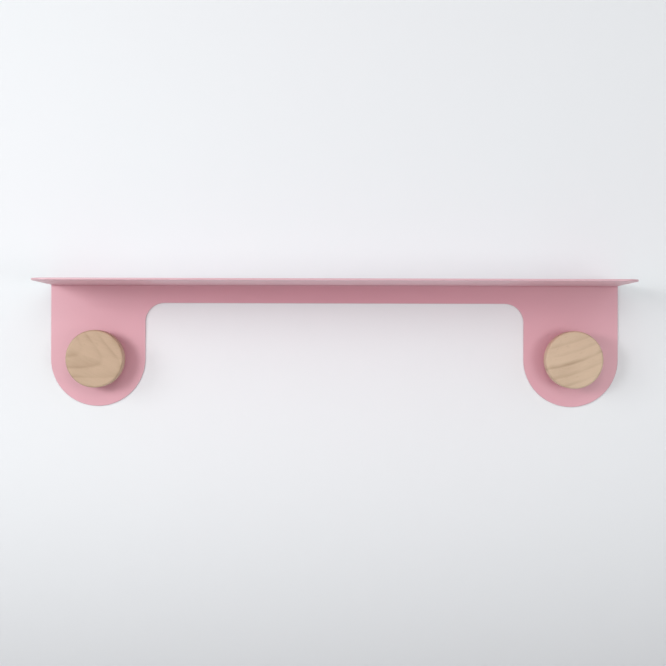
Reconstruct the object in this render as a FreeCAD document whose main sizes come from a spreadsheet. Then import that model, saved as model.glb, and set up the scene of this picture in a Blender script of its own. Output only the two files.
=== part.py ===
# Wall shelf: one folded sheet of steel with two round oak pegs that cover its wall screws.
# Millimetres. The origin is on the wall, midway between the two wall screws.
# +X runs along the shelf, +Z is up, and the shelf stands out from the wall towards -Y.

import FreeCAD, Part
import Sketcher
import math
import os

SIZES = (
    # The folded steel panel
    ("panel_length", "600", "left end to right end"),
    ("shelf_depth", "150", "wall to the shelf's front edge"),
    ("shelf_rise", "80", "wall screws up to the shelf's top"),
    ("sheet_gauge", "2", "thickness of the sheet"),
    ("bend_radius", "2", "inside radius of the fold"),
    ("strip_height", "21", "shelf's top down to the upright strip's lower edge"),
    ("lobe_width", "100", "width of each lobe, whose lower end is a half circle"),
    ("notch_round", "20", "radius between the strip's lower edge and a lobe"),
    ("front_corner_round", "15", "radius of the shelf's front corners"),
    ("edge_round", "0.5", "soft edge of the coated sheet"),
    ("screw_hole", "7", "hole for the stud in each lobe"),
    # The wall stud, a hanger bolt
    ("thread_diameter", "6", "machine thread that stands out of the wall"),
    ("thread_gap", "0.05", "radial gap between the stud and a tapped bore"),
    ("thread_end_chamfer", "0.8", "chamfer on the machine thread's end"),
    ("stud_reach", "22", "wall to the machine thread's end"),
    ("wood_thread_diameter", "5.5", "wood thread in the plug"),
    ("stud_in_wall", "38", "wall to the wood thread's point"),
    ("stud_point", "7", "length of the tapered point"),
    ("stud_point_flat", "1", "diameter at the very end of the point"),
    # The nylon wall plug
    ("plug_diameter", "8", "drilled hole in the wall"),
    ("plug_length", "42", "wall to the plug's inner end"),
    ("plug_mouth", "8", "plain round length at the wall"),
    ("plug_end_taper", "5", "length of the pointed inner end"),
    ("plug_end_diameter", "6.6", "diameter at the inner end"),
    ("plug_gap", "0.1", "radial gap between the plug's bore and the wood thread"),
    ("plug_slot", "1.2", "width of the slots that let the plug spread"),
    ("barb_depth", "0.45", "depth of the grooves between the plug's barbs"),
    ("barb_length", "4.5", "spacing of the barbs"),
    # The washer and the nut that clamp a lobe
    ("washer_diameter", "18", "outside of the washer"),
    ("washer_thickness", "1.6", "thickness of the washer"),
    ("washer_bore", "6.4", "hole in the washer"),
    ("washer_edge_round", "0.3", "rounding of the washer's stamped edge"),
    ("nut_across_flats", "10", "size of the nut's hexagon"),
    ("nut_thickness", "5", "thickness of the nut"),
    ("nut_lead_in", "0.6", "chamfer at the mouths of the nut's bore"),
    # The rubber ring
    ("ring_thickness", "1", "thickness of the rubber"),
    ("ring_inset", "0.5", "ring's edge to the neck's edge"),
    # The turned oak peg
    ("peg_diameter", "60", "diameter of the disc"),
    ("disc_thickness", "24", "thickness of the disc"),
    ("rim_round", "2", "rounding of the disc's two rims"),
    ("neck_diameter", "34", "diameter of the neck"),
    ("neck_length", "10", "ring to the disc's back"),
    ("neck_root_round", "2", "hollow between the neck and the disc"),
    ("neck_edge_round", "0.6", "rounding where the neck meets the ring"),
    ("recess_diameter", "20", "hollow in the neck that hides the nut and washer"),
    ("recess_gap", "1", "nut's face to the recess's floor"),
    ("stud_way_gap", "0.4", "radial gap round the stud beyond the insert"),
    ("stud_end_gap", "1.5", "stud's end to the bottom of its way"),
    # The threaded insert in the peg
    ("insert_diameter", "10", "outside of the insert"),
    ("insert_length", "12", "length of the insert"),
    ("insert_gap", "0.05", "radial gap of glue round the insert"),
    ("insert_edge", "0.5", "chamfer on the insert's outer edges"),
    ("insert_slot_width", "1.6", "driving slot across the insert's mouth"),
    ("insert_slot_depth", "1.8", "depth of the driving slot"),
    # Work allowance
    ("overrun", "1", "how far a cut runs past the face that it opens"),
)

SIDES = (("left", -1), ("right", 1))

doc = FreeCAD.newDocument("WallShelf")
sheet = doc.addObject("Spreadsheet::Sheet", "Sizes")
for row, (alias, value, meaning) in enumerate(SIZES, start=1):
    sheet.set(f"A{row}", meaning)
    sheet.set(f"B{row}", value)
    sheet.setAlias(f"B{row}", alias)
doc.recompute()

# Places that more than one piece shares, worked out from the sheet.
LOBE_RADIUS = "Sizes.lobe_width / 2"
SCREW_ACROSS = "(Sizes.panel_length - Sizes.lobe_width) / 2"
CLAMP_HEIGHT = "(Sizes.washer_thickness + Sizes.nut_thickness)"
RECESS_DEPTH = f"({CLAMP_HEIGHT} - Sizes.ring_thickness + Sizes.recess_gap)"
PEG_SEAT = "(Sizes.sheet_gauge + Sizes.ring_thickness)"
TAPPED_RADIUS = "(Sizes.thread_diameter / 2 + Sizes.thread_gap)"


def new_body(label, across="0", out="0"):
    """A body whose own Z axis points out of the wall, placed at a distance along the shelf and out from the wall."""
    body = doc.addObject("PartDesign::Body", label)
    body.Label = label
    body.Placement = FreeCAD.Placement(FreeCAD.Vector(), FreeCAD.Rotation(FreeCAD.Vector(1, 0, 0), 90))
    body.setExpression("Placement.Base.x", across)
    body.setExpression("Placement.Base.y", f"-({out})")
    return body


def origin_feature(body, role):
    """One of the body's own origin planes or axes."""
    return next(item for item in body.Origin.OriginFeatures if item.Role == role)


def new_sketch(body, name, plane):
    """An empty sketch on one of the body's own origin planes."""
    sketch = body.newObject("Sketcher::SketchObject", name)
    sketch.AttachmentSupport = [(origin_feature(body, plane), "")]
    sketch.MapMode = "FlatFace"
    return sketch


def length_of(expression):
    """The present value of an expression in millimetres."""
    return float(sheet.evalExpression(expression))


def tie_point(sketch, item, end, across, up):
    """Ties an end of a sketch line or arc to its two distances from the sketch's origin."""
    for kind, distance in (("DistanceX", across), ("DistanceY", up)):
        tie = Sketcher.Constraint(kind, -1, 1, item, end, length_of(distance))
        number = sketch.addConstraint(tie)
        sketch.setExpression(f"Constraints[{number}]", distance)


def arc_between(start, finish, radius, turn):
    """The short arc of this radius from start to finish, turning left for turn 1 and right for turn -1."""
    chord = finish - start
    middle = (start + finish) / 2
    to_centre = math.sqrt(max(radius**2 - (chord.Length / 2) ** 2, 0))
    sideways = FreeCAD.Vector(-chord.y, chord.x).normalize() * turn
    centre = middle + sideways * to_centre
    crown = centre + (middle - centre).normalize() * radius
    return Part.Arc(start, crown, finish)


def draw_outline(sketch, stops):
    """Draws a closed outline. Each stop is (across, up) for a straight line to it from the stop before,
    or (across, up, radius, turn) for an arc, which turns left for turn 1 and right for turn -1."""
    places = [FreeCAD.Vector(length_of(stop[0]), length_of(stop[1])) for stop in stops]
    for number, stop in enumerate(stops):
        start, finish = places[number - 1], places[number]
        if len(stop) == 2:
            item = sketch.addGeometry(Part.LineSegment(start, finish))
            first, last = 1, 2
        else:
            radius, turn = stop[2:]
            item = sketch.addGeometry(arc_between(start, finish, length_of(radius), turn))
            first, last = (1, 2) if turn == 1 else (2, 1)
            tie = sketch.addConstraint(Sketcher.Constraint("Radius", item, length_of(radius)))
            sketch.setExpression(f"Constraints[{tie}]", radius)
        tie_point(sketch, item, first, *stops[number - 1][:2])
        tie_point(sketch, item, last, *stop[:2])


def draw_circle(sketch, across, up, diameter):
    """Draws a circle whose centre and diameter are tied."""
    centre = FreeCAD.Vector(length_of(across), length_of(up))
    item = sketch.addGeometry(Part.Circle(centre, FreeCAD.Vector(0, 0, 1), length_of(diameter) / 2))
    tie_point(sketch, item, 3, across, up)
    tie = sketch.addConstraint(Sketcher.Constraint("Diameter", item, length_of(diameter)))
    sketch.setExpression(f"Constraints[{tie}]", diameter)


def turn_body(body, outline):
    """Turns an outline, drawn as (distance from the axis, distance along it), about the body's own Z axis."""
    sketch = new_sketch(body, "Profile", "XZ_Plane")
    draw_outline(sketch, outline)
    turned = body.newObject("PartDesign::Revolution", "Turned")
    turned.Profile = sketch
    turned.ReferenceAxis = (sketch, ["V_Axis"])
    turned.Angle = 360
    doc.recompute()


def cut_through(body, sketch, name):
    """Cuts a sketch's outline through the whole body, both ways from the sketch."""
    before = body.Shape.Volume
    cut = body.newObject("PartDesign::Pocket", name)
    cut.Profile = sketch
    cut.SideType = "Symmetric"
    cut.Type = "ThroughAll"
    doc.recompute()
    check_cut(body, before)
    return cut


def check_cut(body, before):
    """A cut that points away from the solid removes nothing, so the volume has to fall."""
    if not body.Shape.Volume < before:
        raise RuntimeError(f"a cut in {body.Label} removed nothing")


def rectangle(left, right, low, high):
    """The four corners of an upright rectangle."""
    return ((left, low), (right, low), (right, high), (left, high))


def build_panel():
    """The folded sheet: an L along the whole length, cut to a strip and two lobes, then holed and softened."""
    body = doc.addObject("PartDesign::Body", "shelf_panel")
    body.Label = "shelf_panel"
    lobe_end = f"-({LOBE_RADIUS})"
    fold_outside = "(Sizes.bend_radius + Sizes.sheet_gauge)"
    fold_height = f"Sizes.shelf_rise - {fold_outside}"
    underside = "Sizes.shelf_rise - Sizes.sheet_gauge"
    folded = new_sketch(body, "FoldedSection", "YZ_Plane")
    draw_outline(folded, (
        ("0", lobe_end),
        ("0", fold_height),
        (f"-{fold_outside}", "Sizes.shelf_rise", fold_outside, 1),
        ("-Sizes.shelf_depth", "Sizes.shelf_rise"),
        ("-Sizes.shelf_depth", underside),
        (f"-{fold_outside}", underside),
        ("-Sizes.sheet_gauge", fold_height, "Sizes.bend_radius", -1),
        ("-Sizes.sheet_gauge", lobe_end),
    ))
    pad = body.newObject("PartDesign::Pad", "FoldedSheet")
    pad.Profile = folded
    pad.SideType = "Symmetric"
    pad.setExpression("Length", "Sizes.panel_length")
    doc.recompute()

    strip_edge = "Sizes.shelf_rise - Sizes.strip_height"
    half_length = "Sizes.panel_length / 2"
    lobe_inner = f"({half_length} - Sizes.lobe_width)"
    notch = new_sketch(body, "LobesAndStrip", "XZ_Plane")
    draw_outline(notch, (
        (f"-({half_length} + Sizes.overrun)", "0"),
        (f"-{half_length}", "0"),
        (f"-{SCREW_ACROSS}", lobe_end, LOBE_RADIUS, 1),
        (f"-{lobe_inner}", "0", LOBE_RADIUS, 1),
        (f"-{lobe_inner}", f"{strip_edge} - Sizes.notch_round"),
        (f"-({lobe_inner} - Sizes.notch_round)", strip_edge, "Sizes.notch_round", -1),
        (f"{lobe_inner} - Sizes.notch_round", strip_edge),
        (lobe_inner, f"{strip_edge} - Sizes.notch_round", "Sizes.notch_round", -1),
        (lobe_inner, "0"),
        (SCREW_ACROSS, lobe_end, LOBE_RADIUS, 1),
        (half_length, "0", LOBE_RADIUS, 1),
        (f"{half_length} + Sizes.overrun", "0"),
        (f"{half_length} + Sizes.overrun", f"{lobe_end} - Sizes.overrun"),
        (f"-({half_length} + Sizes.overrun)", f"{lobe_end} - Sizes.overrun"),
    ))
    cut_through(body, notch, "CutLobesAndStrip")

    holes = new_sketch(body, "ScrewHoles", "XZ_Plane")
    for _, sign in SIDES:
        draw_circle(holes, f"{sign} * {SCREW_ACROSS}", "0", "Sizes.screw_hole")
    cut_through(body, holes, "CutScrewHoles")

    corners = body.newObject("PartDesign::Fillet", "FrontCorners")
    corners.Base = (corners.BaseFeature, front_corner_edges(corners.BaseFeature.Shape))
    corners.setExpression("Radius", "Sizes.front_corner_round")
    doc.recompute()

    softened = body.newObject("PartDesign::Fillet", "SoftEdges")
    softened.Base = (softened.BaseFeature, outline_edges(softened.BaseFeature.Shape))
    softened.setExpression("Radius", "Sizes.edge_round")
    doc.recompute()
    return body


def front_corner_edges(shape):
    """Names of the upright edges at the shelf's two front corners."""
    names = []
    for number, edge in enumerate(shape.Edges, start=1):
        direction = edge.tangentAt(edge.FirstParameter)
        at_front = abs(edge.CenterOfMass.y + length_of("Sizes.shelf_depth")) < Part.Precision.confusion()
        if abs(direction.z) > 0.5 and at_front:
            names.append(f"Edge{number}")
    return names


def outline_edges(shape):
    """Names of the sheet's sharp edges, apart from those of the screw holes."""
    names = []
    for number, edge in enumerate(shape.Edges, start=1):
        in_hole = isinstance(edge.Curve, Part.Circle) and edge.Closed
        middle = edge.valueAt((edge.FirstParameter + edge.LastParameter) / 2)
        normals = []
        for face in shape.ancestorsOfType(edge, Part.Face):
            normals.append(face.normalAt(*face.Surface.parameter(middle)))
        square = len(normals) == 2 and abs(normals[0].dot(normals[1])) < 0.5
        if square and not in_hole:
            names.append(f"Edge{number}")
    return names


def build_stud(side, across):
    """A hanger bolt: machine thread out of the wall, tapered wood thread into the plug."""
    body = new_body(f"{side}_wall_stud", across)
    thread_radius = "Sizes.thread_diameter / 2"
    turn_body(body, (
        ("0", "-Sizes.stud_in_wall"),
        ("Sizes.stud_point_flat / 2", "-Sizes.stud_in_wall"),
        ("Sizes.wood_thread_diameter / 2", "-(Sizes.stud_in_wall - Sizes.stud_point)"),
        ("Sizes.wood_thread_diameter / 2", "0"),
        (thread_radius, "0"),
        (thread_radius, "Sizes.stud_reach - Sizes.thread_end_chamfer"),
        (f"{thread_radius} - Sizes.thread_end_chamfer", "Sizes.stud_reach"),
        ("0", "Sizes.stud_reach"),
    ))
    return body


def build_plug(side, across):
    """A nylon plug: a plain round mouth flush with the wall, then a barbed length split into four fingers."""
    body = new_body(f"{side}_wall_plug", across)
    bore = "(Sizes.wood_thread_diameter / 2 + Sizes.plug_gap)"
    outside = "Sizes.plug_diameter / 2"
    outline = [
        (bore, "0"),
        (bore, "-Sizes.plug_length"),
        ("Sizes.plug_end_diameter / 2", "-Sizes.plug_length"),
    ]
    barbed = "(Sizes.plug_length - Sizes.plug_mouth - Sizes.plug_end_taper)"
    barbs = math.floor(length_of(f"{barbed} / Sizes.barb_length"))
    for barb in range(barbs, 0, -1):
        far = f"-(Sizes.plug_mouth + {barb} * {barbed} / {barbs})"
        near = f"-(Sizes.plug_mouth + {barb - 1} * {barbed} / {barbs})"
        outline.append((f"{outside} - Sizes.barb_depth", far))
        outline.append((outside, near))
    outline.append((outside, "0"))
    turn_body(body, outline)
    for name, plane in (("SlotAcross", "YZ_Plane"), ("SlotUpright", "XZ_Plane")):
        slot = new_sketch(body, name, plane)
        draw_outline(slot, rectangle(
            "-Sizes.plug_slot / 2",
            "Sizes.plug_slot / 2",
            "-(Sizes.plug_length + Sizes.overrun)",
            "-Sizes.plug_mouth",
        ))
        cut_through(body, slot, f"Cut{name}")
    return body


def build_washer(side, across):
    """A wide stamped washer on the front of the lobe."""
    body = new_body(f"{side}_washer", across, "Sizes.sheet_gauge")
    outside = "Sizes.washer_diameter / 2"
    edge = "Sizes.washer_edge_round"
    turn_body(body, (
        ("Sizes.washer_bore / 2", "0"),
        (outside, "0"),
        (outside, f"Sizes.washer_thickness - {edge}"),
        (f"{outside} - {edge}", "Sizes.washer_thickness", edge, 1),
        ("Sizes.washer_bore / 2", "Sizes.washer_thickness"),
    ))
    return body


def build_nut(side, across):
    """A hexagon nut on the washer: a turned blank with chamfered faces, then six flats."""
    body = new_body(f"{side}_hex_nut", across, "Sizes.sheet_gauge + Sizes.washer_thickness")
    flat = "Sizes.nut_across_flats / 2"
    corner = f"({flat} / cos(30 deg))"
    chamfer = f"({corner} - {flat}) * tan(30 deg)"
    mouth = f"{TAPPED_RADIUS} + Sizes.nut_lead_in"
    turn_body(body, (
        (TAPPED_RADIUS, "Sizes.nut_lead_in"),
        (mouth, "0"),
        (flat, "0"),
        (corner, chamfer),
        (corner, f"Sizes.nut_thickness - {chamfer}"),
        (flat, "Sizes.nut_thickness"),
        (mouth, "Sizes.nut_thickness"),
        (TAPPED_RADIUS, "Sizes.nut_thickness - Sizes.nut_lead_in"),
    ))
    beside_flat = new_sketch(body, "BesideFlat", "XY_Plane")
    draw_outline(beside_flat, rectangle(flat, f"{corner} + Sizes.overrun", f"-{corner}", corner))
    cut = cut_through(body, beside_flat, "CutFlat")
    before = body.Shape.Volume
    flats = body.newObject("PartDesign::PolarPattern", "SixFlats")
    flats.Originals = [cut]
    flats.Axis = (origin_feature(body, "Z_Axis"), [""])
    flats.Angle = 360
    flats.Occurrences = 6
    body.Tip = flats
    doc.recompute()
    check_cut(body, before)
    return body


def build_ring(side, across):
    """A rubber ring between the lobe and the peg's neck."""
    body = new_body(f"{side}_rubber_ring", across, "Sizes.sheet_gauge")
    outside = "Sizes.neck_diameter / 2 - Sizes.ring_inset"
    turn_body(body, rectangle("Sizes.recess_diameter / 2", outside, "0", "Sizes.ring_thickness"))
    return body


def build_peg(side, across):
    """A turned peg: neck and disc in one, hollowed from the back for the nut, the insert and the stud's end."""
    body = new_body(f"{side}_peg", across, PEG_SEAT)
    neck = "Sizes.neck_diameter / 2"
    disc = "Sizes.peg_diameter / 2"
    neck_edge = "Sizes.neck_edge_round"
    root = "Sizes.neck_root_round"
    rim = "Sizes.rim_round"
    back = "Sizes.neck_length"
    front = "(Sizes.neck_length + Sizes.disc_thickness)"
    recess = "Sizes.recess_diameter / 2"
    insert_bore = "Sizes.insert_diameter / 2 + Sizes.insert_gap"
    insert_floor = f"{RECESS_DEPTH} + Sizes.insert_length"
    stud_way = "Sizes.thread_diameter / 2 + Sizes.stud_way_gap"
    stud_way_floor = f"Sizes.stud_reach - {PEG_SEAT} + Sizes.stud_end_gap"
    turn_body(body, (
        ("0", stud_way_floor),
        (stud_way, stud_way_floor),
        (stud_way, insert_floor),
        (insert_bore, insert_floor),
        (insert_bore, RECESS_DEPTH),
        (recess, RECESS_DEPTH),
        (recess, "0"),
        (f"{neck} - {neck_edge}", "0"),
        (neck, neck_edge, neck_edge, 1),
        (neck, f"{back} - {root}"),
        (f"{neck} + {root}", back, root, -1),
        (f"{disc} - {rim}", back),
        (disc, f"{back} + {rim}", rim, 1),
        (disc, f"{front} - {rim}"),
        (f"{disc} - {rim}", front, rim, 1),
        ("0", front),
    ))
    return body


def build_insert(side, across):
    """A brass insert in the peg, tapped through, with a driving slot across its mouth."""
    body = new_body(f"{side}_thread_insert", across, f"{PEG_SEAT} + {RECESS_DEPTH}")
    outside = "Sizes.insert_diameter / 2"
    edge = "Sizes.insert_edge"
    turn_body(body, (
        (TAPPED_RADIUS, "0"),
        (f"{outside} - {edge}", "0"),
        (outside, edge),
        (outside, f"Sizes.insert_length - {edge}"),
        (f"{outside} - {edge}", "Sizes.insert_length"),
        (TAPPED_RADIUS, "Sizes.insert_length"),
    ))
    slot = new_sketch(body, "DrivingSlot", "YZ_Plane")
    draw_outline(slot, rectangle(
        "-Sizes.insert_slot_width / 2",
        "Sizes.insert_slot_width / 2",
        "-Sizes.overrun",
        "Sizes.insert_slot_depth",
    ))
    cut_through(body, slot, "CutDrivingSlot")
    return body


pieces = [build_panel()]
for side_name, side_sign in SIDES:
    place = f"{side_sign} * {SCREW_ACROSS}"
    for build in (build_plug, build_stud, build_washer, build_nut, build_ring, build_peg, build_insert):
        pieces.append(build(side_name, place))
doc.recompute()

for item in doc.Objects:
    if "Invalid" in item.State or "Error" in item.State:
        raise RuntimeError(f"{item.Label} failed: {item.State}")
for piece in pieces:
    if piece.Shape.isNull() or not piece.Shape.isValid() or len(piece.Shape.Solids) != 1:
        raise RuntimeError(f"{piece.Label} is not one valid solid")

os.makedirs("parts", exist_ok=True)
for piece in pieces:
    piece.Shape.exportStep(f"parts/{piece.Label}.step")
    print(f"{piece.Label}: {piece.Shape.Volume:.1f} mm3")
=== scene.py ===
import math

import bmesh
import bpy
import numpy as np
from mathutils import Matrix, Vector


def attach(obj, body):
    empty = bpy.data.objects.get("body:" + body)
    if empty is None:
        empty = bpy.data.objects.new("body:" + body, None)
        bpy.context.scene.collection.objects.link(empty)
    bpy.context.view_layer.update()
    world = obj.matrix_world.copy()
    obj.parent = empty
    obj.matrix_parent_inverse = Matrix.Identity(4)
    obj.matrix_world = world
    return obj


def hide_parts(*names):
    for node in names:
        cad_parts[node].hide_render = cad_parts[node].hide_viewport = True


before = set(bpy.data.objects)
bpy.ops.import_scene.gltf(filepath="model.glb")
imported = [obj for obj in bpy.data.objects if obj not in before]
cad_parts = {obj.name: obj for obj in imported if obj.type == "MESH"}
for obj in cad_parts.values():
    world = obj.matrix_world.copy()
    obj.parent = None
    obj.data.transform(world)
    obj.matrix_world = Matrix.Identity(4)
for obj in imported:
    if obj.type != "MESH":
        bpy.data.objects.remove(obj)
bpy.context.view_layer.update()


# Wall plugs. Grey nylon sleeves, moulded in one piece, pushed into holes drilled in the wall. Their solids
# have the barbs and slots already, so they get the satin nylon finish and the faint flow marks of the
# mould.

NYLON = (0.5, 0.5, 0.49)
NYLON_DARK = (0.46, 0.46, 0.45)
NYLON_LIGHT = (0.54, 0.54, 0.53)


def new_finish(name, colour, roughness, metallic=0.0):
    """A material with one shader of this plain colour, roughness and metal share, and its node tree."""
    finish = bpy.data.materials.new(name)
    finish.use_nodes = True
    tree = finish.node_tree
    shader = tree.nodes["Principled BSDF"]
    shader.inputs["Base Color"].default_value = (*colour, 1.0)
    shader.inputs["Roughness"].default_value = roughness
    shader.inputs["Metallic"].default_value = metallic
    return finish, tree, shader


def reckon_vector(tree, operation, *values):
    """One sum on vectors or sockets."""
    step = tree.nodes.new("ShaderNodeVectorMath")
    step.operation = operation
    for socket, value in zip(step.inputs, values):
        if isinstance(value, tuple):
            socket.default_value = value
        else:
            tree.links.new(value, socket)
    return step.outputs["Value" if operation == "LENGTH" else "Vector"]


def place_on_object(tree, stretch=(1.0, 1.0, 1.0), turn=(0.0, 0.0, 0.0), shift=(0.0, 0.0, 0.0)):
    """The point's place in the object's own metres, moved by shift, then turned, then stretched along each
    axis."""
    moved = reckon_vector(tree, "ADD", tree.nodes.new("ShaderNodeTexCoord").outputs["Object"], shift)
    mapping = tree.nodes.new("ShaderNodeMapping")
    mapping.inputs["Rotation"].default_value = turn
    tree.links.new(moved, mapping.inputs["Vector"])
    return reckon_vector(tree, "MULTIPLY", mapping.outputs[0], stretch)


def noise(tree, place, scale, detail=2.0, roughness=0.5):
    """Smooth noise from 0 to 1 with this many blobs to the metre at the given place."""
    texture = tree.nodes.new("ShaderNodeTexNoise")
    texture.inputs["Scale"].default_value = scale
    texture.inputs["Detail"].default_value = detail
    texture.inputs["Roughness"].default_value = roughness
    tree.links.new(place, texture.inputs["Vector"])
    return texture.outputs["Fac"]


def stretch_range(tree, value, old, new):
    """A value that runs over the old range, brought to the new one and held at its ends."""
    change = tree.nodes.new("ShaderNodeMapRange")
    for socket, number in zip(("From Min", "From Max", "To Min", "To Max"), (*old, *new)):
        change.inputs[socket].default_value = number
    tree.links.new(value, change.inputs["Value"])
    return change.outputs["Result"]


def mix_colours(tree, share, first, second):
    """A colour that runs from first at 0 to second at 1, each given as a colour or a socket."""
    mix = tree.nodes.new("ShaderNodeMix")
    mix.data_type = "RGBA"
    for name, colour in (("A", first), ("B", second)):
        if isinstance(colour, tuple):
            mix.inputs[name].default_value = (*colour, 1.0)
        else:
            tree.links.new(colour, mix.inputs[name])
    tree.links.new(share, mix.inputs["Factor"])
    return mix.outputs["Result"]


def shade_between(tree, shader, value, dark, light):
    """Colours the shader from dark at 0 to light at 1."""
    tree.links.new(mix_colours(tree, value, dark, light), shader.inputs["Base Color"])


def raise_surface(tree, shader, height, depth, strength=1.0):
    """Bends the shader's normals as if height, from 0 to 1, rose by depth in metres."""
    bump = tree.nodes.new("ShaderNodeBump")
    bump.inputs["Strength"].default_value = strength
    bump.inputs["Distance"].default_value = depth
    tree.links.new(height, bump.inputs["Height"])
    tree.links.new(bump.outputs["Normal"], shader.inputs["Normal"])


def dress(finish, *names):
    """Puts a finish on solids of the frame."""
    for name in names:
        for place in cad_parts[name].material_slots:
            place.material = finish


nylon, tree, shader = new_finish("satin_nylon", NYLON, roughness=0.42)
shader.inputs["Subsurface Weight"].default_value = 0.08
shader.inputs["Subsurface Scale"].default_value = 0.002
flow_marks = noise(tree, place_on_object(tree, stretch=(1.0, 0.15, 1.0)), scale=900.0, detail=4.0)
shade_between(tree, shader, flow_marks, NYLON_DARK, NYLON_LIGHT)
raise_surface(tree, shader, flow_marks, depth=0.00002, strength=0.6)
dress(nylon, "left_wall_plug", "right_wall_plug")


# Wall studs. Hanger bolts of zinc-plated steel: a rolled M6 thread stands out of the wall and a coarse wood
# thread goes into the plug. The solids are plain shanks, so these meshes carry the real right-hand threads
# inside the same outline.

SCREW_SIDES = {"left": -0.25, "right": 0.25}
MACHINE_THREAD = {"radius": 0.003, "pitch": 0.001, "depth": 0.00061, "crest": 0.125}
WOOD_THREAD = {"radius": 0.00275, "pitch": 0.0025, "depth": 0.0009, "crest": 0.08}
STUD_REACH = 0.022
STUD_END_CHAMFER = 0.0008
STUD_IN_WALL = 0.038
STUD_POINT = 0.007
STUD_POINT_RADIUS = 0.0005
BLANK_LENGTH = 0.0015
WOOD_ROWS = 330
BLANK_ROWS = 4
MACHINE_ROWS = 265
STUD_COLUMNS = 48
SHARP_ANGLE = math.radians(40)
NOISE_SPAN = (0.3, 0.7)
ZINC = (0.66, 0.67, 0.68)
ZINC_DARK = (0.58, 0.59, 0.61)
ZINC_LIGHT = (0.74, 0.75, 0.75)
ZINC_ROUGHNESS = (0.26, 0.42)


def grid_mesh(name, places, closed_rows=True, close_start=True, close_end=True):
    """A mesh over a grid of places, rows by columns by three. Closed rows are joined end to end, and a
    closed start or end gets a flat fan from the row's mean point."""
    rows, columns = places.shape[:2]
    points = places.reshape(-1, 3)
    spans = np.arange(columns if closed_rows else columns - 1)
    row, column = np.meshgrid(np.arange(rows - 1), spans, indexing="ij")
    following = (column + 1) % columns
    faces = np.stack((
        row * columns + column,
        row * columns + following,
        (row + 1) * columns + following,
        (row + 1) * columns + column,
    ), axis=-1).reshape(-1, 4).tolist()
    around = np.arange(columns)
    for wanted, first, flip in ((close_start, 0, True), (close_end, (rows - 1) * columns, False)):
        if wanted:
            centre = len(points)
            points = np.vstack((points, points[first:first + columns].mean(axis=0)))
            ends = (first + around, first + (around + 1) % columns)
            ends = ends[::-1] if flip else ends
            faces += np.stack((ends[0], ends[1], np.full(columns, centre)), axis=-1).tolist()
    mesh = bpy.data.meshes.new(name)
    mesh.from_pydata(points.tolist(), [], faces)
    mesh.validate()
    piece = bpy.data.objects.new(name, mesh)
    bpy.context.scene.collection.objects.link(piece)
    mesh.shade_smooth()
    mesh.set_sharp_from_angle(angle=SHARP_ANGLE)
    return piece


def thread_radius(thread, out, turn):
    """Radius of a right-hand thread at this distance along its axis and this share of a turn: the distance
    in pitches less the turn gives the place in the groove, whose flanks rise straight to a flat crest."""
    groove = np.abs(2.0 * ((out / thread["pitch"] - turn) % 1.0) - 1.0)
    height = np.clip((groove - thread["crest"]) / (1.0 - 2.0 * thread["crest"]), 0.0, 1.0)
    return thread["radius"] - thread["depth"] * (1.0 - height)


def stud_mesh(name, across):
    """A stud as rows along its axis by columns round it, each point its radius times the cosine and sine of
    its turn. The outward half takes the machine thread and the inward half the wood thread, each no wider
    than its end's chamfer or point, with a plain blank between them."""
    out = np.concatenate((
        np.linspace(-STUD_IN_WALL, -BLANK_LENGTH, WOOD_ROWS),
        np.linspace(-BLANK_LENGTH, 0.0, BLANK_ROWS)[1:-1],
        np.linspace(0.0, STUD_REACH, MACHINE_ROWS),
    ))[:, None]
    turn = (np.arange(STUD_COLUMNS) / STUD_COLUMNS)[None, :]
    in_wall = out < 0.0
    wood_thread = thread_radius(WOOD_THREAD, out, turn)
    radius = np.where(in_wall, wood_thread, thread_radius(MACHINE_THREAD, out, turn))
    in_blank = (out >= -BLANK_LENGTH) & in_wall
    radius = np.where(in_blank, WOOD_THREAD["radius"] - 0.5 * WOOD_THREAD["depth"], radius)
    point_slope = (WOOD_THREAD["radius"] - STUD_POINT_RADIUS) / STUD_POINT
    point = STUD_POINT_RADIUS + point_slope * (out + STUD_IN_WALL)
    chamfer = MACHINE_THREAD["radius"] - STUD_END_CHAMFER + (STUD_REACH - out)
    radius = np.minimum(radius, np.minimum(point, chamfer))
    angle = 2.0 * math.pi * turn
    places = np.broadcast_arrays(across + radius * np.cos(angle), -out, radius * np.sin(angle))
    return grid_mesh(name, np.stack(places, axis=-1))


zinc, tree, shader = new_finish("zinc_plate", ZINC, roughness=0.34, metallic=1.0)
rolled = noise(tree, place_on_object(tree), scale=700.0, detail=5.0, roughness=0.6)
shade_between(tree, shader, rolled, ZINC_DARK, ZINC_LIGHT)
tree.links.new(stretch_range(tree, rolled, NOISE_SPAN, ZINC_ROUGHNESS), shader.inputs["Roughness"])
raise_surface(tree, shader, rolled, depth=0.00001, strength=0.4)
for side, across in SCREW_SIDES.items():
    stud = stud_mesh(f"{side}_threaded_stud", across)
    stud.data.materials.append(zinc)
    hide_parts(f"{side}_wall_stud")
    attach(stud, "panel")


# Shelf panel. One sheet of 2 mm steel, laser cut, folded once and powder coated. The sprayed powder melts
# to a satin pink skin with a fine, even stipple and a faint bloom at a low angle. Along the cut edges the
# pink is paler, partly from the thinner coat there and partly as a painted highlight of the rounded edges.

PANEL_HALF_LENGTH = 0.3
SHELF_DEPTH = 0.15
PANEL_TOP = 0.08
FRONT_CORNER_ROUND = 0.015
STRIP_EDGE = 0.059
LOBE_RADIUS = 0.05
NOTCH_ROUND = 0.02
EDGE_ROUND = 0.0005
PALE_EDGE_AND_HIGHLIGHT_END = 0.00075
FAR = 1.0
PINK = (0.67, 0.295, 0.365)
PINK_DARK = (0.656, 0.287, 0.356)
PINK_LIGHT = (0.684, 0.303, 0.374)
# Paler pink of the cut edges: partly the thinner coat, partly a painted highlight.
PINK_EDGE_AND_HIGHLIGHT = (0.66, 0.37, 0.425)
COAT_ROUGHNESS = (0.38, 0.46)


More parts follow.
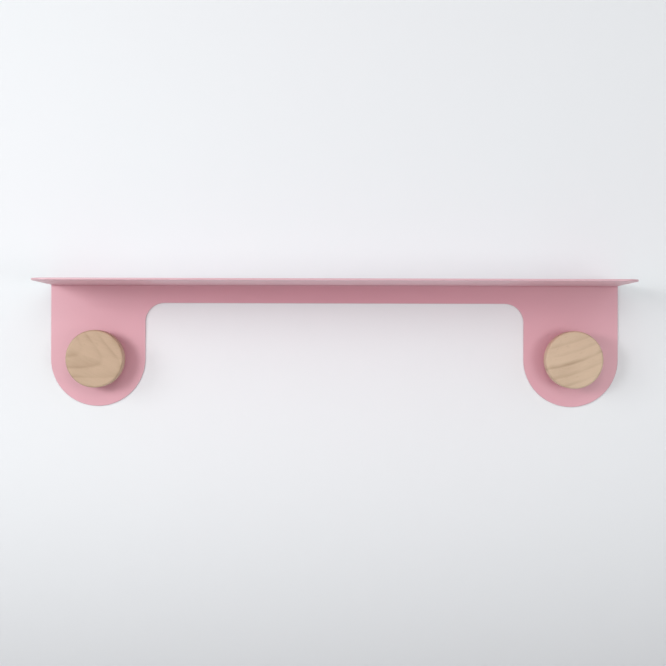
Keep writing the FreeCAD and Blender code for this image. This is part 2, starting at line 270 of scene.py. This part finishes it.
def reckon(tree, operation, *values):
    """One sum on numbers or sockets."""
    step = tree.nodes.new("ShaderNodeMath")
    step.operation = operation
    for socket, value in zip(step.inputs, values):
        if isinstance(value, (int, float)):
            socket.default_value = value
        else:
            tree.links.new(value, socket)
    return step.outputs[0]


def split(tree, place):
    """The three parts of a place."""
    parts = tree.nodes.new("ShaderNodeSeparateXYZ")
    tree.links.new(place, parts.inputs[0])
    return parts.outputs


def outside_block(tree, place, corner):
    """Distance from a block round the origin: the length of what the place, without its signs, has beyond
    the block's corner."""
    beyond = reckon_vector(tree, "SUBTRACT", reckon_vector(tree, "ABSOLUTE", place), corner)
    return reckon_vector(tree, "LENGTH", reckon_vector(tree, "MAXIMUM", beyond, (0.0, 0.0, 0.0)))


def inside_outline(tree):
    """How far a point lies inside the sheet's outline: the least of its distances to the shelf's front and
    ends, to the opening between the lobes and, below the screws, to the lobes' round ends."""
    place = place_on_object(tree)
    shelf_core = (PANEL_HALF_LENGTH - FRONT_CORNER_ROUND, SHELF_DEPTH - FRONT_CORNER_ROUND, FAR)
    from_front = reckon(tree, "SUBTRACT", FRONT_CORNER_ROUND, outside_block(tree, place, shelf_core))
    opening_core = (PANEL_HALF_LENGTH - 2.0 * LOBE_RADIUS - NOTCH_ROUND, FAR, STRIP_EDGE - NOTCH_ROUND)
    from_opening = reckon(tree, "SUBTRACT", outside_block(tree, place, opening_core), NOTCH_ROUND)
    along, _, up = split(tree, place)
    beside = reckon(tree, "SUBTRACT", reckon(tree, "ABSOLUTE", along), PANEL_HALF_LENGTH - LOBE_RADIUS)
    square = reckon(tree, "ADD", reckon(tree, "POWER", beside, 2.0), reckon(tree, "POWER", up, 2.0))
    from_end = reckon(tree, "SUBTRACT", LOBE_RADIUS, reckon(tree, "SQRT", square))
    from_end = reckon(tree, "MAXIMUM", from_end, reckon(tree, "GREATER_THAN", up, 0.0))
    return reckon(tree, "MINIMUM", from_end, reckon(tree, "MINIMUM", from_front, from_opening))


powder, tree, shader = new_finish("pink_powder_coat", PINK, roughness=0.42)
shader.inputs["IOR"].default_value = 1.6
shader.inputs["Specular IOR Level"].default_value = 1.0
shader.inputs["Sheen Weight"].default_value = 0.25
shader.inputs["Sheen Roughness"].default_value = 0.5
stipple = noise(tree, place_on_object(tree), scale=1500.0, detail=3.0, roughness=0.55)
cloud = noise(tree, place_on_object(tree), scale=14.0, detail=3.0)
speck = noise(tree, place_on_object(tree), scale=2600.0, detail=1.0)
shade = reckon(tree, "MULTIPLY_ADD", cloud, 0.6, stretch_range(tree, speck, (0.25, 0.75), (0.0, 0.4)))
full_coat = mix_colours(tree, shade, PINK_DARK, PINK_LIGHT)
# The cut edges are painted paler: partly the thinner coat, partly a painted highlight of the rounded edges.
thin_coat_and_highlight = stretch_range(tree, inside_outline(tree), (EDGE_ROUND, PALE_EDGE_AND_HIGHLIGHT_END), (1.0, 0.0))
shade_between(tree, shader, thin_coat_and_highlight, full_coat, PINK_EDGE_AND_HIGHLIGHT)
tree.links.new(stretch_range(tree, stipple, NOISE_SPAN, COAT_ROUGHNESS), shader.inputs["Roughness"])
raise_surface(tree, shader, stipple, depth=0.00005, strength=0.7)
dress(powder, "shelf_panel")


# Washers and nuts. Wide stamped washers and hexagon nuts of the same zinc-plated steel as the studs. They
# clamp the lobes to the wall, and the hollow necks of the pegs hide them.

dress(zinc, "left_washer", "right_washer", "left_hex_nut", "right_hex_nut")


# Rubber rings. Die-cut from 1 mm black sheet rubber and laid between each neck and the coat, so the peg
# doesn't mark it.

RUBBER = (0.045, 0.045, 0.047)
RUBBER_DARK = (0.036, 0.036, 0.038)
RUBBER_LIGHT = (0.056, 0.056, 0.058)

rubber, tree, shader = new_finish("sheet_rubber", RUBBER, roughness=0.75)
pressed = noise(tree, place_on_object(tree), scale=1200.0, detail=4.0)
shade_between(tree, shader, pressed, RUBBER_DARK, RUBBER_LIGHT)
raise_surface(tree, shader, pressed, depth=0.00003, strength=0.5)
dress(rubber, "left_rubber_ring", "right_rubber_ring")


# Thread inserts. Turned brass sleeves, tapped M6 and slotted for the driver, screwed and glued into the
# hollow necks.

BRASS = (0.72, 0.53, 0.26)
BRASS_DARK = (0.66, 0.47, 0.22)
BRASS_LIGHT = (0.78, 0.58, 0.3)

brass, tree, shader = new_finish("turned_brass", BRASS, roughness=0.3, metallic=1.0)
tool_marks = noise(tree, place_on_object(tree, stretch=(0.05, 1.0, 0.05)), scale=4000.0)
shade_between(tree, shader, tool_marks, BRASS_DARK, BRASS_LIGHT)
raise_surface(tree, shader, tool_marks, depth=0.00001, strength=0.4)
dress(brass, "left_thread_insert", "right_thread_insert")


# Pegs. Each is turned from one block of oak, disc and neck together, with the grain lying across the disc,
# then sanded and oiled to a matt finish. The neck is hollow at the back for the nut, the insert and the
# stud's end.

DISC_RADIUS = 0.03
DISC_FRONT = 0.037
DISC_BACK = 0.013
RIM_ROUND = 0.002
NECK_RADIUS = 0.017
NECK_BACK = 0.003
NECK_ROOT_ROUND = 0.002
NECK_EDGE_ROUND = 0.0006
RECESS_RADIUS = 0.01
RECESS_FLOOR = 0.0096
INSERT_BORE_RADIUS = 0.00505
INSERT_FLOOR = 0.0216
STUD_WAY_RADIUS = 0.0034
STUD_WAY_FLOOR = 0.0235
AXIS_HOLE = 0.0004
PEG_COLUMNS = 288


def arc(centre, radius, start, finish, steps=8):
    """Evenly spaced points on a circle, from one angle to another in degrees: the centre plus the radius
    times the cosine and sine of the angle."""
    angles = np.radians(np.linspace(start, finish, steps + 1))
    return np.stack((centre[0] + radius * np.cos(angles), centre[1] + radius * np.sin(angles)), axis=-1)


def straight(start, finish, steps):
    """This many evenly spaced points on a line, after the start and up to the finish: each is the finish
    times its share of the way plus the start times what is left."""
    share = np.linspace(0.0, 1.0, steps + 1)[1:, None]
    return np.array(start) * (1.0 - share) + np.array(finish) * share


def peg_profile():
    """The peg's outline as (distance from the axis, distance out), from the middle of its face, round the
    rim and neck, and into the hollow to its bottom."""
    rim = DISC_RADIUS - RIM_ROUND
    root = NECK_RADIUS + NECK_ROOT_ROUND
    neck_edge = NECK_RADIUS - NECK_EDGE_ROUND
    return np.vstack((
        straight((AXIS_HOLE, DISC_FRONT), (rim, DISC_FRONT), 24),
        arc((rim, DISC_FRONT - RIM_ROUND), RIM_ROUND, 90, 0)[1:],
        straight((DISC_RADIUS, DISC_FRONT - RIM_ROUND), (DISC_RADIUS, DISC_BACK + RIM_ROUND), 12),
        arc((rim, DISC_BACK + RIM_ROUND), RIM_ROUND, 0, -90)[1:],
        straight((rim, DISC_BACK), (root, DISC_BACK), 8),
        arc((root, DISC_BACK - NECK_ROOT_ROUND), NECK_ROOT_ROUND, 90, 180)[1:],
        straight((NECK_RADIUS, DISC_BACK - NECK_ROOT_ROUND), (NECK_RADIUS, NECK_BACK + NECK_EDGE_ROUND), 6),
        arc((neck_edge, NECK_BACK + NECK_EDGE_ROUND), NECK_EDGE_ROUND, 0, -90, steps=5)[1:],
        straight((neck_edge, NECK_BACK), (RECESS_RADIUS, NECK_BACK), 4),
        straight((RECESS_RADIUS, NECK_BACK), (RECESS_RADIUS, RECESS_FLOOR), 4),
        straight((RECESS_RADIUS, RECESS_FLOOR), (INSERT_BORE_RADIUS, RECESS_FLOOR), 3),
        straight((INSERT_BORE_RADIUS, RECESS_FLOOR), (INSERT_BORE_RADIUS, INSERT_FLOOR), 4),
        straight((INSERT_BORE_RADIUS, INSERT_FLOOR), (STUD_WAY_RADIUS, INSERT_FLOOR), 2),
        straight((STUD_WAY_RADIUS, INSERT_FLOOR), (STUD_WAY_RADIUS, STUD_WAY_FLOOR), 2),
        straight((STUD_WAY_RADIUS, STUD_WAY_FLOOR), (AXIS_HOLE, STUD_WAY_FLOOR), 3),
    ))


def turned_peg(name, across):
    """The outline swept a full turn about the peg's axis: distance from the axis times the cosine and sine
    of the angle gives the place along and up, and the distance out is laid towards the room."""
    profile = peg_profile()
    radius, out = profile[:, :1], profile[:, 1:]
    angle = np.linspace(0.0, -2.0 * math.pi, PEG_COLUMNS, endpoint=False)[None, :]
    places = np.broadcast_arrays(across + radius * np.cos(angle), -out, radius * np.sin(angle))
    return grid_mesh(name, np.stack(places, axis=-1))


SWAY = 0.009
SWAY_BLOBS = 26.0
LATE_PEAK = 0.82
LATE_RISE = 3.0
USUAL_WEIGHTS = (0.08, 0.24)
BREAK_SPAN = (0.36, 0.6)
BREAK_WEIGHTS = (0.3, 1.0)
PORE_SPAN = (0.64, 0.72)
PORES_IN_LATE_WOOD = 0.3
FIBRE_HEIGHT = 0.4
MIDDLE_TONE = 0.42
OAK_ROUGHNESS = (0.5, 0.6)


def oak(name, across, grain_turn, ring_turn, heart, round_heart, taper, ring_width, first_ring, heavy_ring,
        heavy_weight, colours):
    """Flat-sawn oak. A ring's number is the distance from the heart of the tree, plus the taper times the
    way along the trunk, over the ring's width. The distance counts the way along the trunk in full where
    the rings close round the heart. Each ring darkens to its late wood, one most. Fibres and open pores run
    along the grain."""
    finish, tree, shader = new_finish(name, colours[1], roughness=0.55)

    def along_grain(squeeze):
        """The place in the block, with its way along the grain multiplied by this."""
        return place_on_object(tree, (squeeze, 1.0, 1.0), (0.0, grain_turn, 0.0), (-across, DISC_FRONT, 0.0))

    def swayed(way, squeeze, centre):
        """One way through the block from the heart, swayed by noise that is longer along the grain."""
        sway = noise(tree, along_grain(squeeze), SWAY_BLOBS)
        return reckon(tree, "MULTIPLY_ADD", sway, SWAY, reckon(tree, "SUBTRACT", way, centre + 0.5 * SWAY))

    block = place_on_object(tree, turn=(0.0, ring_turn, 0.0), shift=(-across, DISC_FRONT, 0.0))
    trunk, depth, side_way = split(tree, block)
    along = swayed(trunk, 1.0, heart[0])
    inwards = reckon(tree, "SUBTRACT", depth, heart[1])
    beside = swayed(side_way, 0.6, heart[2])
    square = reckon(tree, "ADD", reckon(tree, "POWER", inwards, 2.0), reckon(tree, "POWER", beside, 2.0))
    square = reckon(tree, "MULTIPLY_ADD", reckon(tree, "POWER", along, 2.0), round_heart, square)
    from_heart = reckon(tree, "MULTIPLY_ADD", along, taper, reckon(tree, "SQRT", square))
    ring = reckon(tree, "MULTIPLY_ADD", from_heart, 1.0 / ring_width, first_ring)
    within = reckon(tree, "FRACT", ring)
    late = reckon(tree, "POWER", stretch_range(tree, within, (0.0, LATE_PEAK), (0.0, 1.0)), LATE_RISE)
    late = reckon(tree, "MULTIPLY", late, stretch_range(tree, within, (LATE_PEAK, 1.0), (1.0, 0.0)))
    number = reckon(tree, "FLOOR", ring)
    draw = tree.nodes.new("ShaderNodeTexWhiteNoise")
    draw.noise_dimensions = "1D"
    tree.links.new(number, draw.inputs["W"])
    usual_weight = stretch_range(tree, draw.outputs["Value"], (0.0, 1.0), USUAL_WEIGHTS)
    is_heavy = reckon(tree, "COMPARE", number, heavy_ring, 0.5)
    weight = reckon(tree, "MULTIPLY_ADD", is_heavy, heavy_weight, usual_weight)
    broken = stretch_range(tree, noise(tree, along_grain(0.5), scale=50.0), BREAK_SPAN, BREAK_WEIGHTS)
    late = reckon(tree, "MULTIPLY", reckon(tree, "MULTIPLY", late, broken), weight)
    band = noise(tree, along_grain(0.22), scale=120.0, detail=3.0)
    cloud = noise(tree, along_grain(0.6), scale=45.0)
    fibre = noise(tree, along_grain(0.05), scale=1400.0, detail=4.0, roughness=0.6)
    speck = noise(tree, along_grain(0.07), scale=2600.0, detail=1.0)
    early = stretch_range(tree, within, (0.0, 0.5), (1.0, PORES_IN_LATE_WOOD))
    pores = reckon(tree, "MULTIPLY", stretch_range(tree, speck, PORE_SPAN, (0.0, 1.0)), early)
    tone = late
    for grain, share in ((cloud, 0.3), (band, 0.34), (fibre, 0.2), (pores, 0.3)):
        tone = reckon(tree, "MULTIPLY_ADD", grain, share, tone)
    ramp = tree.nodes.new("ShaderNodeValToRGB")
    stops = ramp.color_ramp.elements
    stops.new(MIDDLE_TONE)
    for stop, colour in zip(stops, colours):
        stop.color = (*colour, 1.0)
    tree.links.new(tone, ramp.inputs["Fac"])
    tree.links.new(ramp.outputs["Color"], shader.inputs["Base Color"])
    tree.links.new(stretch_range(tree, fibre, NOISE_SPAN, OAK_ROUGHNESS), shader.inputs["Roughness"])
    grain_height = reckon(tree, "SUBTRACT", reckon(tree, "MULTIPLY", fibre, FIBRE_HEIGHT), pores)
    raise_surface(tree, shader, grain_height, depth=0.00005, strength=0.5)
    return finish


OAK_COLOURS = {
    "left": ((0.64, 0.48, 0.34), (0.545, 0.395, 0.268), (0.31, 0.205, 0.12)),
    "right": ((0.75, 0.575, 0.415), (0.64, 0.485, 0.34), (0.355, 0.24, 0.145)),
}
OAK_FIGURES = {
    "left": {
        "grain_turn": math.radians(-20), "ring_turn": math.radians(-27), "heart": (0.0, 0.012, 0.0),
        "round_heart": 0.0, "taper": 0.4, "ring_width": 0.0095, "first_ring": 0.28, "heavy_ring": 1.0,
        "heavy_weight": 0.1,
    },
    "right": {
        "grain_turn": math.radians(17), "ring_turn": 0.0, "heart": (-0.07, 0.02, 0.222),
        "round_heart": 1.0, "taper": 0.0, "ring_width": 0.0102, "first_ring": 0.7, "heavy_ring": 23.0,
        "heavy_weight": 0.22,
    },
}
for side, across in SCREW_SIDES.items():
    peg = turned_peg(f"{side}_oak_peg", across)
    peg.data.materials.append(oak(f"oak_{side}", across, colours=OAK_COLOURS[side], **OAK_FIGURES[side]))
    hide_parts(f"{side}_peg")
    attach(peg, f"{side}_peg")


# Wall and floor. A plain white wall that the shelf hangs on, with an opening behind the sheet so that light
# also reaches the sheet's back, and a plain pale floor well below. The wall is seen only from the room's
# side. Above the shelf its white is painted cooler to cancel the pink light that the coat throws on it.

WALL_GAP = 0.00015
WALL_HALF_WIDTH = 3.0
WALL_TOP = 2.0
FLOOR_LEVEL = -1.1
FLOOR_HALF_WIDTH = 5.0
OPENING_INSET = 0.0009
WALL_WHITE = (0.88, 0.905, 0.93)
# Painted shade: the wall darkens to grey towards the bottom, where the light falls off.
LOW_WALL_FROM = -0.42
LOW_WALL_TO = -0.05
LOW_WALL_FADE = 1.7
LOW_WALL_PAINTED_SHADE = (0.57, 0.58, 0.6)
# A cooler white, painted above the shelf to cancel the pink light that the coat throws on the wall.
BOUNCE_CANCELLING_WHITE = (0.876, 0.959, 0.977)
BOUNCE_CANCELLING_FOOT = 0.06
BOUNCE_CANCELLING_TOP = 0.36
BOUNCE_CANCELLING_FADE = 1.5
BOUNCE_CANCELLING_HALF_WIDTH = 0.2
BOUNCE_CANCELLING_END = 0.35
FLOOR_PALE = (0.8, 0.79, 0.78)
FLOOR_DARK = (0.79, 0.78, 0.77)
FLOOR_LIGHT = (0.81, 0.8, 0.79)


def sheet_outline(inset):
    """The sheet's outline on the wall as (along, up), pulled inwards by the inset: round lobes, notch and
    strip."""
    lobe = LOBE_RADIUS - inset
    notch = NOTCH_ROUND + inset
    inner = PANEL_HALF_LENGTH - 2.0 * LOBE_RADIUS + inset
    notch_centre = (inner - notch, STRIP_EDGE - NOTCH_ROUND)
    half = np.vstack((
        [(0.0, PANEL_TOP - inset), (PANEL_HALF_LENGTH - inset, PANEL_TOP - inset)],
        arc((PANEL_HALF_LENGTH - LOBE_RADIUS, 0.0), lobe, 0, -180, steps=48),
        arc(notch_centre, notch, 0, 90, steps=12),
        [(0.0, STRIP_EDGE + inset)],
    ))
    mirrored = half[::-1] * (-1.0, 1.0)
    return np.vstack((half, mirrored[1:-1]))


def bounce_cancelling_share(tree, along, up):
    """Share of the cooler white painted to cancel the coat's pink bounce light: a rise just below the
    shelf's top, times a power of a fall above it, times a fall towards the shelf's ends."""
    risen = stretch_range(tree, up, (BOUNCE_CANCELLING_FOOT, PANEL_TOP), (0.0, 1.0))
    near_top = reckon(tree, "POWER", stretch_range(tree, up, (PANEL_TOP, BOUNCE_CANCELLING_TOP), (1.0, 0.0)), BOUNCE_CANCELLING_FADE)
    aside = reckon(tree, "ABSOLUTE", along)
    inside_ends = stretch_range(tree, aside, (BOUNCE_CANCELLING_HALF_WIDTH, BOUNCE_CANCELLING_END), (1.0, 0.0))
    return reckon(tree, "MULTIPLY", reckon(tree, "MULTIPLY", risen, near_top), inside_ends)


opening = sheet_outline(OPENING_INSET)
corners = np.array((
    (-WALL_HALF_WIDTH, FLOOR_LEVEL), (WALL_HALF_WIDTH, FLOOR_LEVEL),
    (WALL_HALF_WIDTH, WALL_TOP), (-WALL_HALF_WIDTH, WALL_TOP),
))
wall_places = np.insert(np.vstack((corners, opening)), 1, WALL_GAP, axis=1)
loops = (np.arange(len(corners)), len(corners) + np.arange(len(opening)))
sides = np.vstack([np.stack((np.roll(loop, 1), loop), axis=-1) for loop in loops])
wall_mesh = bpy.data.meshes.new("wall")
wall_mesh.from_pydata(wall_places.tolist(), sides.tolist(), [])
filled = bmesh.new()
filled.from_mesh(wall_mesh)
bmesh.ops.triangle_fill(filled, use_beauty=True, edges=filled.edges[:], normal=(0.0, -1.0, 0.0))
filled.to_mesh(wall_mesh)
filled.free()
wall = bpy.data.objects.new("wall", wall_mesh)
bpy.context.scene.collection.objects.link(wall)

paint, tree, shader = new_finish("wall_paint", WALL_WHITE, roughness=0.9)
shader.inputs["Specular IOR Level"].default_value = 0.1
along, _, up = split(tree, place_on_object(tree))
# Painted cooler white above the shelf, cancelling the coat's pink bounce light.
white = mix_colours(tree, bounce_cancelling_share(tree, along, up), WALL_WHITE, BOUNCE_CANCELLING_WHITE)
# Painted shade of the light falling off: the white runs to grey towards the bottom.
painted_low_shade = stretch_range(tree, up, (LOW_WALL_FROM, LOW_WALL_TO), (1.0, 0.0))
shade_between(tree, shader, reckon(tree, "POWER", painted_low_shade, LOW_WALL_FADE), white, LOW_WALL_PAINTED_SHADE)
roller_marks = noise(tree, place_on_object(tree), scale=160.0, detail=4.0)
raise_surface(tree, shader, roller_marks, depth=0.0001, strength=0.15)
clear = tree.nodes.new("ShaderNodeBsdfTransparent")
side_seen = tree.nodes.new("ShaderNodeNewGeometry")
one_sided = tree.nodes.new("ShaderNodeMixShader")
tree.links.new(side_seen.outputs["Backfacing"], one_sided.inputs["Fac"])
tree.links.new(shader.outputs["BSDF"], one_sided.inputs[1])
tree.links.new(clear.outputs["BSDF"], one_sided.inputs[2])
tree.links.new(one_sided.outputs["Shader"], tree.nodes["Material Output"].inputs["Surface"])
wall_mesh.materials.append(paint)

floor_span = np.linspace(-FLOOR_HALF_WIDTH, FLOOR_HALF_WIDTH, 3)
sideways, deep = np.meshgrid(floor_span, floor_span, indexing="xy")
floor_places = np.stack((sideways, deep, np.full_like(sideways, FLOOR_LEVEL)), axis=-1)
floor = grid_mesh("floor", floor_places, closed_rows=False, close_start=False, close_end=False)
screed, tree, shader = new_finish("pale_floor", FLOOR_PALE, roughness=0.8)
trowel_marks = noise(tree, place_on_object(tree), scale=6.0, detail=5.0)
shade_between(tree, shader, trowel_marks, FLOOR_DARK, FLOOR_LIGHT)
floor.data.materials.append(screed)


# Studio light. A soft lamp on each side, level with the pegs, throws their shadows inwards from the left
# and the right. A lamp in front and one far to the left light the wall, and a pale room, dimmer above and
# below, lights the rest.

LAMPS = {
    "left_lamp": {"place": (-0.73, -1.2, 0.16), "aim": (-0.25, 0.0, 0.0), "width": 0.33, "share": 0.2745},
    "right_lamp": {"place": (0.63, -1.2, -0.04), "aim": (0.25, 0.0, 0.0), "width": 0.3, "share": 0.1165},
    "front_lamp": {"place": (0.0, -2.0, 0.6), "aim": (0.0, 0.0, 0.0), "width": 0.5, "share": 0.075},
    "far_left_lamp": {"place": (-2.0, -1.6, 0.5), "aim": (0.0, 0.0, 0.0), "width": 1.0, "share": 0.1515},
}
ROOM_BRIGHTNESS = {"X": (0.45, 0.72), "Y": (0.73, 0.73), "Z": (0.3, 0.14)}
BACKDROP = (0.86, 0.86, 0.87)


def soft_lamp(name, place, aim, width, share):
    """A round white lamp of this width, turned to face the aim. Its power is pi squared times the square of
    its distance times the share of full light that a white surface at the aim gets from it."""
    lamp = bpy.data.lights.new(name, "AREA")
    lamp.shape = "DISK"
    lamp.size = width
    ray = Vector(aim) - Vector(place)
    lamp.energy = math.pi**2 * ray.length_squared * share
    lit = bpy.data.objects.new(name, lamp)
    lit.location = place
    lit.rotation_euler = ray.to_track_quat("-Z", "Y").to_euler()
    lit.visible_camera = False
    bpy.context.scene.collection.objects.link(lit)


def room_light(tree, way_out):
    """Brightness by direction: the sum, over the three axes, of the square of the direction's part along
    the axis times a level that runs from the axis's first value to its second."""
    brightness = 0.0
    for axis, levels in ROOM_BRIGHTNESS.items():
        level = stretch_range(tree, way_out[axis], (-1.0, 1.0), levels)
        squared = reckon(tree, "POWER", way_out[axis], 2.0)
        brightness = reckon(tree, "MULTIPLY_ADD", squared, level, brightness)
    return brightness


for name, lamp in LAMPS.items():
    soft_lamp(name, **lamp)
room = bpy.data.worlds.new("pale_room")
room.use_nodes = True
tree = room.node_tree
ambient = tree.nodes["Background"]
ambient.inputs["Color"].default_value = (1.0, 1.0, 1.0, 1.0)
way_out = split(tree, tree.nodes.new("ShaderNodeTexCoord").outputs["Generated"])
tree.links.new(room_light(tree, way_out), ambient.inputs["Strength"])
backdrop = tree.nodes.new("ShaderNodeBackground")
backdrop.inputs["Color"].default_value = (*BACKDROP, 1.0)
path = tree.nodes.new("ShaderNodeLightPath").outputs
seen = reckon(tree, "MAXIMUM", path["Is Camera Ray"], path["Is Glossy Ray"])
seen = reckon(tree, "MAXIMUM", seen, path["Is Transmission Ray"])
either = tree.nodes.new("ShaderNodeMixShader")
tree.links.new(seen, either.inputs["Fac"])
tree.links.new(ambient.outputs[0], either.inputs[1])
tree.links.new(backdrop.outputs[0], either.inputs[2])
tree.links.new(either.outputs[0], tree.nodes["World Output"].inputs["Surface"])
bpy.context.scene.world = room
bpy.context.scene.view_settings.view_transform = "Standard"


# Camera. Two metres in front of the wall and level with the lobes, with a long lens that fills the frame's
# width.

CAMERA_PLACE = (-0.00365, -1.97933, 0.00989)
CAMERA_PAN = math.radians(-0.061)
CAMERA_TILT = math.radians(90.517)
CAMERA_ROLL = math.radians(0.15)
CAMERA_LENS = 100.97
SENSOR_WIDTH = 36.0

camera = bpy.data.objects.new("camera", bpy.data.cameras.new("camera"))
camera.data.lens = CAMERA_LENS
camera.data.sensor_width = SENSOR_WIDTH
camera.matrix_world = (
    Matrix.Translation(CAMERA_PLACE)
    @ Matrix.Rotation(CAMERA_PAN, 4, "Z")
    @ Matrix.Rotation(CAMERA_TILT, 4, "X")
    @ Matrix.Rotation(CAMERA_ROLL, 4, "Z")
)
bpy.context.scene.collection.objects.link(camera)
bpy.context.scene.camera = camera
